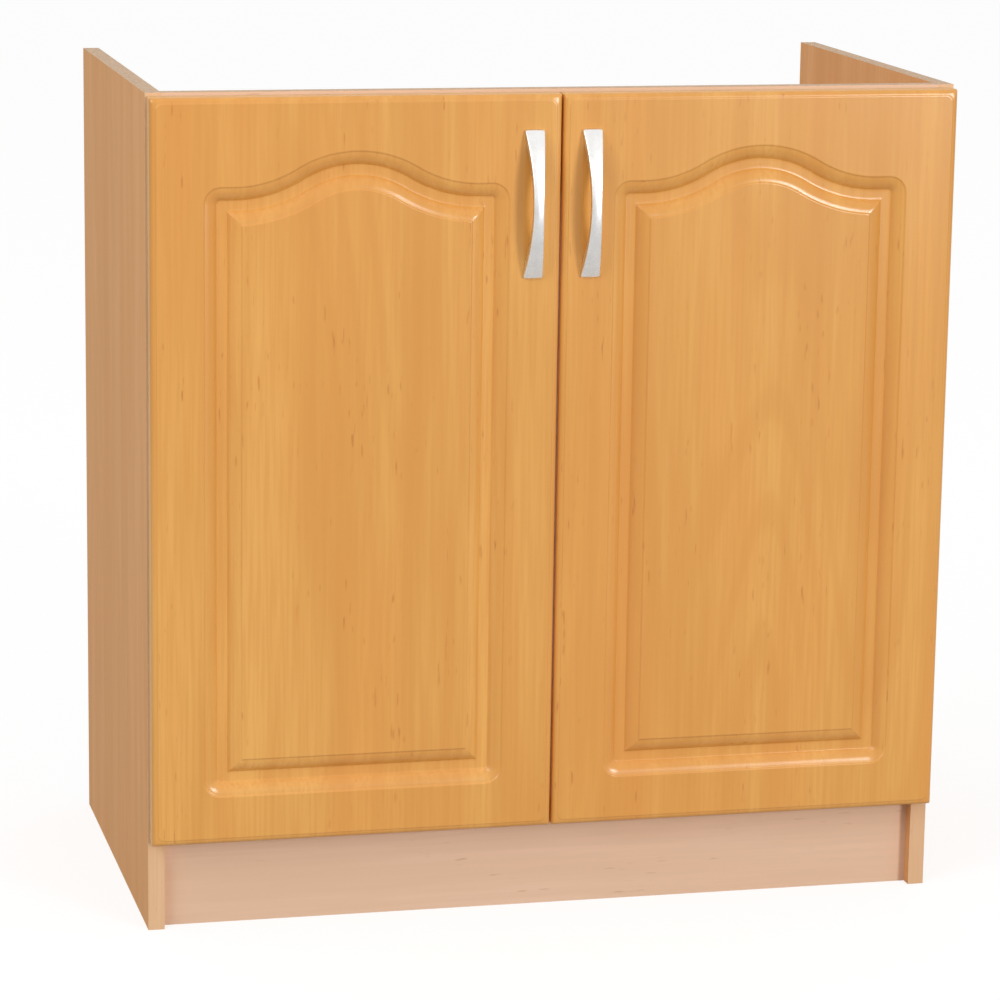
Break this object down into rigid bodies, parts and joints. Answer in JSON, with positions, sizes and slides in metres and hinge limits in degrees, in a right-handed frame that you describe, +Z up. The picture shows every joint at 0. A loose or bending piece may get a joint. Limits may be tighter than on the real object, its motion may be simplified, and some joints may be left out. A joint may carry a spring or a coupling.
{
  "type": "sink base cabinet",
  "caption": "Floor-standing kitchen base cabinet for a sink, open at the top and back, with two overlay doors on concealed hinges, arched routed mouldings and bow handles.",
  "frame": {"origin": "on the floor, under the centre of the whole cabinet's box, handles included", "axes": "+X to the right as seen from the front, +Y to the back, +Z up; the doors face -Y"},
  "size_m": [0.8, 0.485, 0.82],
  "materials": {
    "beech_board": "laminated chipboard with a satin beech grain",
    "beech_edging": "satin beech edge strip",
    "door_foil": "foil-wrapped board, semi-gloss alder grain, white back",
    "satin_handle": "satin",
    "hinge_steel": "nickel-plated pressed steel",
    "screw_steel": "zinc-plated",
    "zinc_cam": "cast zinc",
    "zinc_bolt": "zinc-plated",
    "dowel_wood": "plain beech",
    "buffer_rubber": "clear soft dot"
  },
  "bodies": {
    "carcass": {"side_left": "beech_board", "side_right": "beech_board", "bottom_panel": "beech_board", "front_rail": "beech_board", "rear_rail": "beech_board", "plinth": "beech_board", "side_band_left": "beech_edging", "side_band_right": "beech_edging", "bottom_band": "beech_edging", "cam_locks": "zinc_cam", "cam_bolts": "zinc_bolt", "dowels": "dowel_wood", "hinge_plate_screws_left": "screw_steel", "hinge_arm_screws_left": "screw_steel", "hinge_arm_pins_left": "hinge_steel", "hinge_arm_left_bottom": "hinge_steel", "hinge_plate_left_bottom": "hinge_steel", "hinge_arm_left_top": "hinge_steel", "hinge_plate_left_top": "hinge_steel", "hinge_plate_screws_right": "screw_steel", "hinge_arm_screws_right": "screw_steel", "hinge_arm_pins_right": "hinge_steel", "hinge_arm_right_bottom": "hinge_steel", "hinge_plate_right_bottom": "hinge_steel", "hinge_arm_right_top": "hinge_steel", "hinge_plate_right_top": "hinge_steel"},
    "door_left": {"door_left": "door_foil", "handle_left": "satin_handle", "handle_screws_left": "screw_steel", "door_buffers_left": "buffer_rubber", "hinge_cup_left_bottom": "hinge_steel", "hinge_cup_left_top": "hinge_steel", "hinge_cup_pins_left": "hinge_steel", "hinge_cup_screws_left": "screw_steel"},
    "hinge_links_left": {"hinge_link_left_bottom": "hinge_steel", "hinge_link_left_top": "hinge_steel"},
    "door_right": {"door_right": "door_foil", "handle_right": "satin_handle", "handle_screws_right": "screw_steel", "door_buffers_right": "buffer_rubber", "hinge_cup_right_bottom": "hinge_steel", "hinge_cup_right_top": "hinge_steel", "hinge_cup_pins_right": "hinge_steel", "hinge_cup_screws_right": "screw_steel"},
    "hinge_links_right": {"hinge_link_right_bottom": "hinge_steel", "hinge_link_right_top": "hinge_steel"}
  },
  "joints": [
    {"name": "hinge_link_turn_left", "type": "hinge", "parent": "carcass", "child": "hinge_links_left", "pos_m": [-0.365, -0.1935, 0.4535], "axis": [0, 0, 1], "range_deg": [0, 23.75]},
    {"name": "door_turn_left", "type": "hinge", "parent": "hinge_links_left", "child": "door_left", "pos_m": [-0.3895, -0.2045, 0.4535], "axis": [0, 0, -1], "range_deg": [0, 118.75]},
    {"name": "hinge_link_turn_right", "type": "hinge", "parent": "carcass", "child": "hinge_links_right", "pos_m": [0.365, -0.1935, 0.4535], "axis": [0, 0, -1], "range_deg": [0, 23.75]},
    {"name": "door_turn_right", "type": "hinge", "parent": "hinge_links_right", "child": "door_right", "pos_m": [0.3895, -0.2045, 0.4535], "axis": [0, 0, 1], "range_deg": [0, 118.75]}
  ],
  "couplings": [
    {"joint": "hinge_link_turn_left", "follows": "door_turn_left", "ratio": 0.2},
    {"joint": "hinge_link_turn_right", "follows": "door_turn_right", "ratio": 0.2}
  ]
}
